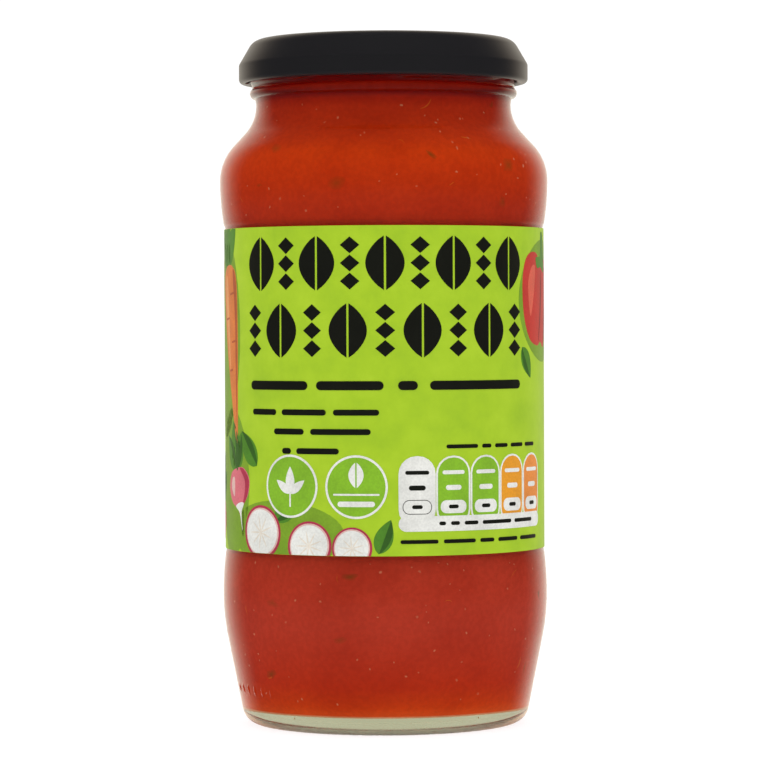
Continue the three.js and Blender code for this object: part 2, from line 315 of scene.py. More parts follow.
def lid_face(depth, fine):
    """One face of the lid's sheet from the middle out to the skirt."""
    ring_z = TOTAL_HEIGHT - depth
    panel_z = ring_z - LID_PANEL_DROP
    ring_r = LID_RING_INNER_RADIUS + depth / 2
    bend_r = LID_RADIUS - LID_BEND_CURVE
    edge_z = TOTAL_HEIGHT - LID_EDGE_CURVE
    crown_foot_r = bend_r + LID_BEND_CURVE * math.cos(LID_LEAN)
    crown_foot_z = LID_SKIRT_TOP_Z + LID_BEND_CURVE * math.sin(LID_LEAN)
    crown_top_z = edge_z + LID_EDGE_CURVE * math.sin(LID_LEAN)
    crown_top_r = crown_foot_r - (crown_top_z - crown_foot_z) * math.tan(LID_LEAN)
    edge_r = crown_top_r - LID_EDGE_CURVE * math.cos(LID_LEAN)
    return [
        (0, panel_z - BUTTON_DROP),
        *ease((BUTTON_RADIUS - BUTTON_SLOPE, panel_z - BUTTON_DROP), (BUTTON_RADIUS, panel_z), fine),
        *ease((ring_r - LID_PANEL_SLOPE, panel_z), (ring_r, ring_z), fine),
        *arc(edge_r, edge_z, LID_EDGE_CURVE - depth, HALF_PI, LID_LEAN, fine),
        *arc(bend_r, LID_SKIRT_TOP_Z, LID_BEND_CURVE - depth, LID_LEAN, 0, fine),
    ]


def lid_outline():
    curl_r = LID_RADIUS - LID_CURL
    return [
        *lid_face(LID_SHELL, 3),
        (LID_RADIUS - LID_SHELL, LID_BOTTOM_Z + 2 * LID_CURL),
        *arc(curl_r, LID_BOTTOM_Z + LID_CURL, LID_CURL, HALF_PI, TURN, 24),
        *reversed(lid_face(0, 8)),
    ]


# Low relief, as millimetres away from the axis at a turn and height


def off_turn(turn, middle, pitch):
    """How far a turn is from the nearest of the middles that repeat every pitch."""
    return abs((turn - middle + pitch / 2) % pitch - pitch / 2)


def thread_relief(turn, radius, z):
    if radius < FINISH_RADIUS - CLOSE or z < BEAD_Z + BEAD_CURVE:
        return 0.0
    rise = 0.0
    for i in range(THREAD_COUNT):
        along = ((turn - TURN * i / THREAD_COUNT) % TURN) / THREAD_ARC
        if along > 1:
            continue
        climb = smooth((along - THREAD_LEVEL_SHARE) / (1 - THREAD_LEVEL_SHARE))
        off = abs(z - THREAD_LOW_Z - (THREAD_HIGH_Z - THREAD_LOW_Z) * climb) / THREAD_HALF_WIDTH
        ends = smooth(min(along, 1 - along) / THREAD_END_SHARE)
        if off < 1:
            rise = max(rise, THREAD_HEIGHT * ends * math.cos(off * HALF_PI) ** 1.5)
    return rise


def dot_relief(turn, radius, z):
    if radius < lean_radius(0, z) - 0.5 or abs(z - DOT_Z) > DOT_HALF_HEIGHT:
        return 0.0
    for i in range(DOT_COUNT):
        middle = DOT_FIRST + DOT_STEP * i
        across = off_turn(turn, middle, TURN) * radius / DOT_HALF_WIDTH
        share = 1 - across**2 - ((z - DOT_Z) / DOT_HALF_HEIGHT) ** 2
        if share > 0:
            return DOT_RISE * share
    return 0.0


def base_lift(turn, radius, z):
    """The underside is uneven from the mould, and stippled where it stands. It never sinks below z = 0."""
    ring_outer = corner_centre(0, 0, HEEL_CURVE)
    if z > PUSH_UP + CLOSE or radius < CLOSE or (z > PUSH_UP_EDGE and radius > ring_outer - 1):
        return 0.0
    place = around(radius, turn, 0) / MM
    waves = sum(noise.noise(place / length) * height for length, height in MOULD_WAVES)
    fade = smooth((ring_outer - radius) / 4)
    grit = max(0.0, noise.noise(place / STIPPLE_LENGTH)) * smooth((PUSH_UP_EDGE - z) / PUSH_UP_EDGE)
    return max(waves * fade, -z) + STIPPLE * grit


def glass_relief(turn, radius, z):
    rise = thread_relief(turn, radius, z) + dot_relief(turn, radius, z)
    return rise, base_lift(turn, radius, z)


def lug_relief(turn, radius, z):
    """The rolled edge's inner side is pressed in towards the axis at each lug."""
    curl_r = LID_RADIUS - LID_CURL
    if z > LID_BOTTOM_Z + 2 * LID_CURL - CLOSE or radius > curl_r - CLOSE:
        return 0.0, 0.0
    off = off_turn(turn, THREAD_ARC * LUG_ALONG_THREAD, TURN / THREAD_COUNT)
    return -LUG_REACH * smooth((LUG_HALF_ANGLE - off) / LUG_EASE), 0.0


# Meshes


def around(radius, turn, z):
    """A point in metres; turn 0 is the front and a quarter turn is +X."""
    return Vector((radius * math.sin(turn), -radius * math.cos(turn), z)) * MM


def add_object(name, data):
    made = bpy.data.objects.new(name, data)
    bpy.context.scene.collection.objects.link(made)
    return made


def mesh_object(name, bm, material):
    """Makes a smooth object of the mesh and adds it to the scene."""
    mesh = bpy.data.meshes.new(name)
    bm.to_mesh(mesh)
    bm.free()
    mesh.shade_smooth()
    mesh.materials.append(material)
    return add_object(name, mesh)


def new_piece(name, bm, material, smooth_angle=40):
    """Makes an object of the mesh and hangs it on the model's only body."""
    bmesh.ops.recalc_face_normals(bm, faces=bm.faces)
    piece = mesh_object(name, bm, material)
    piece.data.set_sharp_from_angle(angle=math.radians(smooth_angle))
    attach(piece, "root")
    return piece


def bridge(bm, first, second):
    """Faces between two rings of points, either of which may be a single point on the axis."""
    if len(first) == 1 and len(second) == 1:
        return
    count = max(len(first), len(second))
    for i in range(count):
        j = (i + 1) % count
        if len(first) == 1:
            bm.faces.new((first[0], second[i], second[j]))
        elif len(second) == 1:
            bm.faces.new((first[i], second[0], first[j]))
        else:
            bm.faces.new((first[i], second[i], second[j], first[j]))


def bridge_all(bm, rings):
    for first, second in zip(rings, rings[1:]):
        bridge(bm, first, second)


def turned(outline, turns, relief=None):
    """Turns an outline round the axis. It starts and ends on the axis."""
    bm = bmesh.new()
    rings = []
    last = None
    for radius, z in outline:
        if last and math.dist(last, (radius, z)) < CLOSE:
            continue
        last = (radius, z)
        if radius < CLOSE:
            rings.append([bm.verts.new((0, 0, z * MM))])
            continue
        ring = []
        for turn in turns:
            rise, lift = relief(turn, radius, z) if relief else (0.0, 0.0)
            ring.append(bm.verts.new(around(radius + rise, turn, z + lift)))
        rings.append(ring)
    bridge_all(bm, rings)
    return bm


def even_turns(count):
    return [TURN * i / count for i in range(count)]


def glass_turns():
    """Even steps, with finer ones where the mould dots are."""
    fine_from = DOT_FIRST + DOT_STEP * (DOT_COUNT - 0.5)
    fine_to = DOT_FIRST - DOT_STEP / 2
    turns = [-math.pi + t for t in even_turns(288)]
    turns = [t for t in turns if not fine_from < t < fine_to]
    steps = 150
    turns += [fine_from + (fine_to - fine_from) * i / steps for i in range(steps + 1)]
    return sorted(turns)


# Materials


def set_stops(elements, stops):
    while len(elements) > 1:
        elements.remove(elements[-1])
    elements[0].position, elements[0].color = stops[0]
    for place, colour in stops[1:]:
        elements.new(place).color = colour


def set_sockets(owner, node, **inputs):
    """Sets a node's sockets by name, or by number after an underscore. A socket or node given as the
    value is linked, a node by the first output that its options leave on."""
    for socket, value in inputs.items():
        target = node.inputs[int(socket[1:])] if socket[0] == "_" else node.inputs[socket.replace("_", " ")]
        if isinstance(value, bpy.types.Node):
            value = next(output for output in value.outputs if output.enabled)
        if isinstance(value, bpy.types.NodeSocket):
            owner.node_tree.links.new(value, target)
        else:
            target.default_value = value


def add_node(owner, kind, settings=None, **inputs):
    """Adds a node, sets its options and fills its sockets. The option stops sets a ramp's places
    and colours."""
    node = owner.node_tree.nodes.new(kind)
    for option, value in (settings or {}).items():
        if option == "stops":
            set_stops(node.color_ramp.elements, value)
        else:
            setattr(node, option, value)
    set_sockets(owner, node, **inputs)
    return node


def new_material(name):
    """A material with its Principled shader, ready for settings."""
    material = bpy.data.materials.new(name)
    material.use_nodes = True
    return material, material.node_tree.nodes["Principled BSDF"]


def object_place(material):
    return add_node(material, "ShaderNodeTexCoord").outputs["Object"]


def object_height(material):
    return add_node(material, "ShaderNodeSeparateXYZ", Vector=object_place(material)).outputs["Z"]


# Sizes of the finishes' patterns, in millimetres
RIPPLE = 7.0
RIPPLE_DEPTH = 0.06
PATCH = 16.0
GRAIN = 1.1
PEEL = 0.8
PEEL_DEPTH = 0.05
BOARD_CLOUD = 9.0
INK_CLOUD = 6.0
INK_GRAIN = 0.5

MATT_ROUGHNESS = 0.45
PUREE_FINISH = {"Roughness": 0.6, "IOR": 1.38, "Specular_IOR_Level": 0.0}


def clouded(material, colour, size_mm, dark, span, detail=2.0):
    """A colour darkened in soft clouds of a real size."""
    pattern = add_node(
        material, "ShaderNodeTexNoise", Vector=object_place(material), Scale=1 / (size_mm * MM), Detail=detail
    )
    stops = [(span[0], srgb(dark)), (span[1], srgb("#FFFFFF"))]
    cloud = add_node(material, "ShaderNodeValToRGB", {"stops": stops}, Fac=pattern)
    options = {"data_type": "RGBA", "blend_type": "MULTIPLY"}
    return add_node(material, "ShaderNodeMix", options, _0=1.0, _6=colour, _7=cloud)


def uneven_skin(material, shader, size_mm, depth_mm, strength):
    """Gives the shader a skin that rises and falls softly, at a real size and depth."""
    pattern = add_node(
        material, "ShaderNodeTexNoise", Vector=object_place(material), Scale=1 / (size_mm * MM), Detail=1.0
    )
    bump = add_node(material, "ShaderNodeBump", Height=pattern, Strength=strength, Distance=depth_mm * MM)
    set_sockets(material, shader, Normal=bump)


def glass_material(looks):
    """Soda-lime container glass, blown in a mould: clear, with a faint green tint that shows only
    where the glass is thick, and skin so slightly uneven that reflections waver. It is matt on the
    stippled ring that it stands on and just above it."""
    material, shader = new_material("soda-lime glass")
    uneven_skin(material, shader, RIPPLE, RIPPLE_DEPTH, 0.5)
    matt = add_node(
        material,
        "ShaderNodeMapRange",
        Value=object_height(material),
        From_Min=MATT_LOW * MM,
        From_Max=MATT_HIGH * MM,
        To_Min=MATT_ROUGHNESS,
        To_Max=0.0,
    )
    set_sockets(material, shader, Base_Color=(1, 1, 1, 1), Transmission_Weight=1, Roughness=matt, IOR=1.52)
    absorb = add_node(
        material, "ShaderNodeVolumeAbsorption", Color=looks.glass_tint, Density=looks.glass_tint_density
    )
    set_sockets(material, material.node_tree.nodes["Material Output"], Volume=absorb)
    return material


def sauce_tone(material, looks):
    """The sauce's colour, with painted light and shade set by height: painted light where light comes
    through the thick base and the shoulder, and painted shade at the bead and under the lid, where
    hardly any reaches it. It is clouded in soft patches."""
    height = object_height(material)
    share = add_node(material, "ShaderNodeMapRange", Value=height, From_Max=SAUCE_LEVEL_Z * MM)
    # Painted light and shade by height: a pale painted edge light and a painted orange glow at the base,
    # painted light at the shoulder, dark red painted shade at the bead and under the lid; pinker in the lower
    # bulge.
    heights = (
        (BASE_THICKNESS + 0.15, looks.sauce_painted_edge_light),
        (BASE_THICKNESS + 0.45, looks.sauce_painted_glow),
        (BASE_THICKNESS + 2.4, looks.sauce_painted_light),
        (BASE_THICKNESS + 7, looks.sauce_colour),
        (LOWER_BULGE_Z - 6, looks.sauce_pale),
        (PANEL_BOTTOM_Z, looks.sauce_pale),
        (SHOULDER_Z - 8, looks.sauce_colour),
        (SHOULDER_Z + 5, looks.sauce_painted_light),
        (BEAD_Z - 4.5, looks.sauce_colour),
        (BEAD_Z - 1.9, looks.sauce_neck_painted_shade),
        (BEAD_Z - 1.4, looks.sauce_painted_shade),
        (BEAD_Z - 0.45, looks.sauce_painted_shade),
        (BEAD_Z - 0.1, looks.sauce_neck_painted_shade),
        (BEAD_Z + 0.08, looks.sauce_neck_painted_shade),
        (BEAD_Z + 0.42, looks.sauce_painted_shade),
    )
    stops = [(z / SAUCE_LEVEL_Z, colour) for z, colour in heights]
    tone = add_node(material, "ShaderNodeValToRGB", {"stops": stops}, Fac=share)
    patches = clouded(material, tone, PATCH, "#F2E6E0", (0.35, 0.6))
    return clouded(material, patches, GRAIN, "#F6F2F0", (0.4, 0.62), 3.0)


def sauce_material(looks):
    """Tomato puree pressed against glass: an opaque wet red with no gloss of its own."""
    material, shader = new_material("tomato puree")
    # The red carries the painted light and shade that sauce_tone sets by height.
    set_sockets(material, shader, Base_Color=sauce_tone(material, looks), **PUREE_FINISH)
    return material


def bit_material(name, looks, colour):
    """A bit of herb, seed or skin that lies in the puree against the glass and fades into it."""
    material, shader = new_material(name)
    strength = add_node(material, "ShaderNodeAttribute", {"attribute_name": "strength"}).outputs["Fac"]
    # The sauce's colour here carries its painted light and shade by height.
    tone = sauce_tone(material, looks)
    mixed = add_node(material, "ShaderNodeMix", {"data_type": "RGBA"}, _0=strength, _6=tone, _7=colour)
    set_sockets(material, shader, Base_Color=mixed, **PUREE_FINISH)
    return material


def lacquer_material(looks):
    """Tinplate with black stoving lacquer: a satin skin with a faint orange-peel unevenness."""
    material, shader = new_material("lacquered tinplate")
    uneven_skin(material, shader, PEEL, PEEL_DEPTH, 0.05)
    set_sockets(material, shader, Base_Color=looks.lid_colour, Roughness=0.34, IOR=1.58)
    return material


def paper_material(looks):
    """Coated label paper, offset printed in green: matt, with the tone clouded as a chalky board."""
    material, shader = new_material("coated paper, printed green")
    cloud = add_node(
        material,
        "ShaderNodeTexNoise",
        Vector=object_place(material),
        Scale=1 / (BOARD_CLOUD * MM),
        Detail=6.0,
        Roughness=0.65,
    )
    stops = [(0.3, looks.label_shade), (0.5, looks.label_colour), (0.72, looks.label_light)]
    tone = add_node(material, "ShaderNodeValToRGB", {"stops": stops}, Fac=cloud)
    set_sockets(material, shader, Base_Color=tone, Roughness=0.5, IOR=1.48)
    return material


def ink_material(name, colour):
    """Offset ink on coated paper: matt, and a little uneven where the paper took up less ink."""
    material, shader = new_material(name.replace("_", " ") + " ink on coated paper")
    inked = clouded(material, colour, INK_CLOUD, "#F0F0F0", (0.35, 0.6))
    inked = clouded(material, inked, INK_GRAIN, "#F4F4F4", (0.4, 0.6))
    set_sockets(material, shader, Base_Color=inked, Roughness=0.5, IOR=1.45)
    return material


# Print on the label: shapes as lists of (along, height) in millimetres. Along is measured round the
# paper from the middle of the front, towards +X.


def rounded_box(left, bottom, right, top, corner, steps=5):
    corner = min(corner, (right - left) / 2 - CLOSE, (top - bottom) / 2 - CLOSE)
    points = []
    for middle_x, middle_z, start in (
        (right - corner, top - corner, 0),
        (left + corner, top - corner, HALF_PI),
        (left + corner, bottom + corner, math.pi),
        (right - corner, bottom + corner, math.pi + HALF_PI),
    ):
        points += arc(middle_x, middle_z, corner, start, start + HALF_PI, steps)
    return points


def oval(x, z, half_width, half_height, steps=40):
    turns = [TURN * i / steps for i in range(steps)]
    return [(x + half_width * math.cos(a), z + half_height * math.sin(a)) for a in turns]


def smooth_loop(corners, steps=5):
    """A closed curve through a few corners."""
    count = len(corners)
    points = []
    for i in range(count):
        before, start, end, after = (corners[(i + k) % count] for k in (-1, 0, 1, 2))
        for j in range(steps):
            t = j / steps
            point = []
            for p0, p1, p2, p3 in zip(before, start, end, after):
                slope = (p2 - p0) * t
                curve = (2 * p0 - 5 * p1 + 4 * p2 - p3) * t**2
                twist = (3 * p1 - p0 - 3 * p2 + p3) * t**3
                point.append(p1 + (slope + curve + twist) / 2)
            points.append(tuple(point))
    return points


def both_sides(side):
    """Closes a shape with the mirror image of a side that starts and ends on the middle line."""
    return side + [(-x, z) for x, z in reversed(side[1:-1])]


def leaf(width, steps=14):
    """A leaf one unit long that points up from its stalk at the middle."""
    return both_sides([(width / 2 * math.sin(math.pi * t**0.8) ** 0.85, t) for t in shares(steps)])


def half_leaf(width, gap, steps=14):
    """The right half of a leaf, split off along its rib."""
    side = [(gap + width / 2 * math.sin(math.pi * t) ** 0.8, t) for t in shares(steps)[1:-1]]
    return [(gap, 0), *side, (gap, 1)]


def placed(shape, x, z, size, tilt=0.0, flip=False):
    """A shape made larger, turned by tilt degrees and moved to its place."""
    turn = math.radians(tilt)
    points = []
    for across, up in shape:
        across = -across if flip else across
        moved_x = x + size * (across * math.cos(turn) - up * math.sin(turn))
        points.append((moved_x, z + size * (across * math.sin(turn) + up * math.cos(turn))))
    return points


class LabelPrint:
    """Collects the print's shapes by ink and by their level over the paper."""

    def __init__(self):
        self.layers = {}

    def add(self, ink, level, *shapes):
        self.layers.setdefault((ink, level), []).extend(shapes)

    def motif(self, parts, x, z, size, tilt, level=0):
        """Adds a drawing made of (ink, level, shape) parts."""
        for ink, own_level, shape in parts:
            self.add(ink, level + own_level, placed(shape, x, z, size, tilt))

    def dashes(self, ink, level, left, bottom, height, *lengths, gap=1.2):
        """Adds a row of rounded dashes, as wide as words."""
        for length in lengths:
            self.add(ink, level, rounded_box(left, bottom, left + length, bottom + height, height / 2, 4))
            left += length + gap


INK_COLOURS = {
    "white": "#E6E6E0",
    "cream": "#E2D8C8",
    "blush": "#DDB4AC",
    "lime": "#84BA16",
    "shade_green": "#7CA414",
    "leaf_green": "#4E8A18",
    "deep_green": "#336612",
    "amber": "#E6980A",
    "tangerine": "#E88C34",
    "carrot": "#DE7A2C",
    "carrot_light": "#EA9C58",
    "rust": "#B85420",
    "rose": "#B42848",
    "pink": "#DA6A76",
    "red": "#C62A1C",
    "red_light": "#DC5A42",
    "wine": "#8C1418",
}


def radish_slice():
    """A round slice: rose rim, pale flesh and faint rays."""
    rays = [placed(leaf(0.1), 0, 0, 0.62, 360 * i / 9 + 11) for i in range(9)]
    return [
        ("rose", 1, oval(0, 0, 1, 0.97)),
        ("blush", 2, oval(0.01, 0.01, 0.9, 0.87)),
        ("white", 3, oval(0, 0.01, 0.84, 0.81)),
        *[("cream", 4, ray) for ray in rays],
    ]


def radish():
    """A whole radish with a pale root and three leaves."""
    body = both_sides([(0, 0.62), (0.6, 0.52), (0.92, 0.05), (0.7, -0.5), (0.2, -0.86), (0, -1.15)])
    shade = [(0.3, 0.56), (0.62, 0.46), (0.88, 0.02), (0.66, -0.5), (0.2, -0.84), (0.5, -0.35), (0.58, 0.1)]
    light = [(-0.45, 0.35), (-0.25, 0.3), (-0.32, -0.1), (-0.42, -0.35), (-0.62, -0.1), (-0.62, 0.15)]
    root = [(0.34, -0.74), (0.08, -1.05), (0.02, -1.7), (-0.05, -1.05), (-0.34, -0.74), (0, -0.66)]
    leaves = []
    for tilt, length in ((-28, 1.5), (24, 1.6), (-3, 1.9)):
        leaves.append(("leaf_green", 1, placed(leaf(0.5), 0, 0.5, length, tilt)))
        leaves.append(("deep_green", 2, placed(half_leaf(0.34, 0.02), 0, 0.52, length * 0.94, tilt)))
    return [
        *leaves,
        ("pink", 2, smooth_loop(body)),
        ("rose", 3, smooth_loop(shade)),
        ("blush", 3, smooth_loop(light)),
        ("white", 4, smooth_loop(root)),
    ]


def carrot():
    """A carrot that points down, two units wide at its crown and eight long."""
    body = [(-0.6, 0.1), (0, 0.25), (0.6, 0.1), (0.98, -0.5), (0.86, -2.4), (0.5, -4.9), (0.02, -7.6)]
    body += [(-0.4, -5.2), (-0.84, -2.6), (-0.98, -0.5)]
    light = [(-0.5, -0.3), (-0.2, -0.4), (-0.22, -2.4), (-0.3, -4.4), (-0.5, -3.2), (-0.66, -1.4)]
    shade = [(0.62, -0.1), (0.92, -0.6), (0.8, -2.4), (0.46, -4.8), (0.12, -6.8), (0.34, -4.4), (0.6, -2.2)]
    lines = []
    for up, side, length in ((-1.1, 0.1, 0.6), (-2.1, -0.7, 0.5), (-3.2, 0.05, 0.5), (-4.4, -0.4, 0.4)):
        lines.append(("rust", 4, rounded_box(side, up, side + length, up + 0.09, 0.04, 2)))
    leaves = [("leaf_green", 1, placed(leaf(0.3), 0, 0, 2.6, tilt)) for tilt in (-30, -8, 16, 38)]
    return [
        *leaves,
        ("carrot", 2, smooth_loop(body)),
        ("carrot_light", 3, smooth_loop(light)),
        ("rust", 3, smooth_loop(shade)),
        *lines,
    ]


def sweet_pepper():
    """A red sweet pepper with a green stalk, about two units wide."""
    body = [(0, 0.66), (0.42, 0.86), (0.86, 0.72), (1, 0.25), (0.84, -0.5), (0.52, -1.0), (0.2, -0.94)]
    body += [(-0.05, -1.06), (-0.5, -0.98), (-0.84, -0.5), (-1, 0.25), (-0.86, 0.72), (-0.42, 0.86)]
    dark = [(0.5, 0.7), (0.84, 0.62), (0.94, 0.2), (0.78, -0.5), (0.52, -0.9), (0.62, -0.3), (0.64, 0.3)]
    groove = [(0.02, 0.55), (0.14, 0.1), (0.14, -0.5), (0.04, -0.95), (0.06, -0.4), (0.04, 0.1)]
    light = [(-0.62, 0.52), (-0.42, 0.56), (-0.4, 0.1), (-0.5, -0.5), (-0.66, -0.2), (-0.74, 0.2)]
    cap = [(0, 0.62), (0.3, 0.56), (0.4, 0.76), (0.1, 0.86), (0.12, 1.3), (-0.1, 1.34), (-0.08, 0.86)]
    cap += [(-0.4, 0.76), (-0.28, 0.56)]
    return [
        ("red", 1, smooth_loop(body)),
        ("wine", 2, smooth_loop(dark)),
        ("wine", 2, smooth_loop(groove)),
        ("red_light", 2, smooth_loop(light)),
        ("leaf_green", 3, smooth_loop(cap)),
    ]


def sprig_leaf():
    return [("leaf_green", 1, leaf(0.52)), ("deep_green", 2, half_leaf(0.36, 0.015))]


def add_artwork(label):
    """Vegetables down the left side, along the lower left and at the right."""
    for x, z, width, height in ((-26, 45, 17, 7.5), (-45, 56, 9, 17), (-51, 90, 11, 24), (50, 97, 14.5, 14)):
        label.add("shade_green", 0, oval(x, z, width, height))
    for drawing, *places in (
        (carrot(), (-47.5, 104, 5.2, 8), (-61, 107, 5.4, -4)),
        (sweet_pepper(), (47.5, 98, 10.8, -9), (65.5, 93, 9.0, 12)),
        (sprig_leaf(), (-33, 60, 10, 40), (-27, 48, 9, -55), (-1.5, 41, 8, -20), (37, 86.5, 8, -150)),
        (radish(), (-41.5, 55.5, 6.2, 12), (-58, 48, 6.4, -14)),
        (radish_slice(), (-31.5, 45.2, 6.3, 0, 3), (-17.6, 42.6, 5.6, 40, 2), (-7.4, 42.2, 4.7, 75, 4)),
    ):
        for place in places:
            label.motif(drawing, *place)


TITLE_LEFT = -35.6
TITLE_RIGHT = 36.0
TITLE_ROWS = ((99.3, 111.3, True), (84.4, 96.4, False))
LEAF_PAIR_WIDTH = 8.7
DIAMOND_WIDTH = 4.4


def add_title_frieze(label):
    """Two rows of split leaves and diamonds, as heavy and as tall as a title."""
    for bottom, top, leaf_first in TITLE_ROWS:
        height = top - bottom
        pairs, columns = (5, 4) if leaf_first else (4, 5)
        solid = pairs * LEAF_PAIR_WIDTH + columns * DIAMOND_WIDTH
        gap = (TITLE_RIGHT - TITLE_LEFT - solid) / (pairs + columns - 1)
        left = TITLE_LEFT
        for i in range(pairs + columns):
            is_leaf = (i % 2 == 0) == leaf_first
            width = LEAF_PAIR_WIDTH if is_leaf else DIAMOND_WIDTH
            middle = left + width / 2
            if is_leaf:
                side = half_leaf((width - 0.5) / height, 0.25 / height)
                for flip in (False, True):
                    label.add("dark", 3, placed(side, middle, bottom, height, 0, flip))
            else:
                step = height / 3
                for k in range(3):
                    z = bottom + step * (k + 0.5)
                    label.add("dark", 3, oval(middle, z, width / 2, step / 2 - 0.15, 4))
            left += width + gap


def add_dashes(label):
    """Dashes where the front's smaller lines stand."""
    for left, bottom, height, gap, *lengths in (
        (-34.8, 77.2, 2.0, 2.2, 17.0, 15.4),
        (3.0, 77.2, 2.0, 1.0, 4.4),
        (10.2, 77.2, 2.0, 1.0, 25.6),
        (-34.2, 71.6, 1.3, 1.7, 7.8, 11.4, 10.4),
        (-27.0, 67.3, 1.3, 1.7, 8.2, 14.0),
        (-24.6, 63.0, 1.3, 1.5, 2.4, 10.4),
        (14.0, 64.2, 0.85, 1.2, 8.0, 2.6, 4.0, 4.6, 4.4),
        (3.4, 43.2, 0.85, 1.3, 8.6, 8.0, 4.0, 6.6, 7.8),
    ):
        label.dashes("dark", 7, left, bottom, height, *lengths, gap=gap)


CAPSULE_PITCH = 8.5
CAPSULE_WIDTH = 8.4
CAPSULE_LEFT = 3.0
CAPSULE_BOTTOM = 46.8
CAPSULE_TOP = 62.6
CAPSULE_RIM = 0.42
STRIP_BOTTOM = 45.9
STRIP_TOP = 49.3


def add_capsules(label):
    """Five tall capsules side by side on a white strip, each with a pale pill near its foot."""
    strip_right = CAPSULE_LEFT + CAPSULE_PITCH * 4 + CAPSULE_WIDTH
    label.add("white", 7, rounded_box(CAPSULE_LEFT, STRIP_BOTTOM, strip_right, STRIP_TOP, 1.7))
    label.dashes("dark", 8, CAPSULE_LEFT + 9.2, 47.2, 0.85, 1.6, 2.2, 3.6, 9.0, 7.6)
    rim = CAPSULE_RIM
    round_end = CAPSULE_WIDTH / 2 - 0.2
    for i, ink in enumerate(("white", "lime", "lime", "amber", "tangerine")):
        left = CAPSULE_LEFT + CAPSULE_PITCH * i
        right = left + CAPSULE_WIDTH
        middle = (left + right) / 2
        label.add("white", 5, rounded_box(left, CAPSULE_BOTTOM, right, CAPSULE_TOP, round_end))
        if ink == "white":
            label.add("dark", 7, rounded_box(middle - 3.3, 49.7, middle + 3.3, 52.9, 1.5))
        else:
            bottom, top = CAPSULE_BOTTOM + rim, CAPSULE_TOP - rim
            label.add(ink, 6, rounded_box(left + rim, bottom, right - rim, top, round_end - rim))
        label.add("white", 8, rounded_box(middle - 3.15, 49.85, middle + 3.15, 52.75, 1.35))
        label.dashes("dark", 9, middle - 1.2, 50.9, 0.85, 2.4)
        words = "dark" if ink == "white" else "white"
        label.dashes(words, 8, middle - 2.7, 58.5, 0.85, 5.4)
        label.dashes(words, 8, middle - 1.9, 55.0, 1.1, 3.8)


ROUNDELS = ((-22.4, 55.8), (-6.4, 55.8))
ROUNDEL_RADIUS = 7.05
ROUNDEL_RIM = 0.5


def add_roundels(label):
    """Two green discs with a white rim: a sprig in one, and a leaf over a line in the other."""
    for x, z in ROUNDELS:
        label.add("white", 7, oval(x, z, ROUNDEL_RADIUS, ROUNDEL_RADIUS, 56))
        inner = ROUNDEL_RADIUS - ROUNDEL_RIM
        label.add("lime", 8, oval(x, z, inner, inner, 56))
    x, z = ROUNDELS[0]
    for tilt, length in ((0, 6.0), (-52, 4.8), (52, 4.8)):
        label.add("white", 9, placed(leaf(0.4), x, z - 1.6, length, tilt))
    label.add("white", 9, rounded_box(x - 0.2, z - 4.6, x + 0.2, z - 1.2, 0.15))
    x, z = ROUNDELS[1]
    for flip in (False, True):
        label.add("white", 9, placed(half_leaf(0.55, 0.03), x, z - 0.2, 5.6, 0, flip))
    label.add("white", 9, rounded_box(x - 5.2, z - 1.9, x + 5.2, z - 1.5, 0.15))
    label.dashes("white", 9, x - 4.2, z - 4.4, 1.2, 8.4)


def add_side_panels(label):
    """The sides that the front view hides: a table in a white box, and two columns of dashes."""
    left, right = 77.0, 102.0
    label.add("white", 5, rounded_box(left, 48, right, 108, 1.5))
    for i in range(13):
        z = 103.4 - 4.2 * i
        label.dashes("dark", 6, left + 2, z, 1.1, (12, 8, 10, 7)[i % 4])
        label.dashes("dark", 6, right - 7, z, 1.1, 5)
        label.add("dark", 6, rounded_box(left + 1.6, z - 1.6, right - 1.6, z - 1.4, 0.08, 2))
    rng = random.Random(4)
    for left, right in ((-110, -92), (-89, -72)):
        for i in range(22):
            along = left
            while along < right - 3:
                length = min(rng.uniform(2.0, 6.0), right - along)
                label.dashes("dark", 5, along, 107.0 - 2.6 * i, 0.9, length)
                along += length + 1.0


PRINT_PARTS = (add_artwork, add_title_frieze, add_dashes, add_capsules, add_roundels, add_side_panels)


def cut(bm, place, way, clear=False):
    """Cuts a flat mesh along a line, and can clear what lies beyond it."""
    geometry = bm.verts[:] + bm.edges[:] + bm.faces[:]
    bmesh.ops.bisect_plane(bm, geom=geometry, dist=1e-5, plane_co=place, plane_no=way, clear_outer=clear)


def print_mesh(shapes, level):
    """Thin skins of ink that follow the paper's curve, one for each shape, cut off at the paper's edge."""
    bm = bmesh.new()
    for shape in shapes:
        bm.faces.new([bm.verts.new((x, z, 0)) for x, z in shape])
    bmesh.ops.triangulate(bm, faces=bm.faces[:])
    cut(bm, (0, LABEL_BOTTOM_Z + PRINT_MARGIN, 0), (0, -1, 0), True)
    cut(bm, (0, LABEL_TOP_Z - PRINT_MARGIN, 0), (0, 1, 0), True)
    step = PAPER_OUTER_RADIUS * math.radians(1.5)
    lowest = min(v.co.x for v in bm.verts)
    highest = max(v.co.x for v in bm.verts)
    for i in range(math.ceil(lowest / step), math.ceil(highest / step)):
        cut(bm, (i * step, 0, 0), (1, 0, 0))
    faces = bm.faces[:]
    rims = [e for e in bm.edges if len(e.link_faces) == 1]
    twins = {v: bm.verts.new(v.co) for v in bm.verts[:]}
    for face in faces:
        bm.faces.new([twins[v] for v in reversed(face.verts)])
    for edge in rims:
        a, b = edge.verts
        bm.faces.new((a, b, twins[b], twins[a]))
    bottoms = set(twins.values())
    for v in bm.verts:
        proud = -INK_SUNK if v in bottoms else INK * (level + 1)
        v.co = around(PAPER_OUTER_RADIUS + proud, v.co.x / PAPER_OUTER_RADIUS, v.co.y)
    return bm


# Sheets and scattered pieces


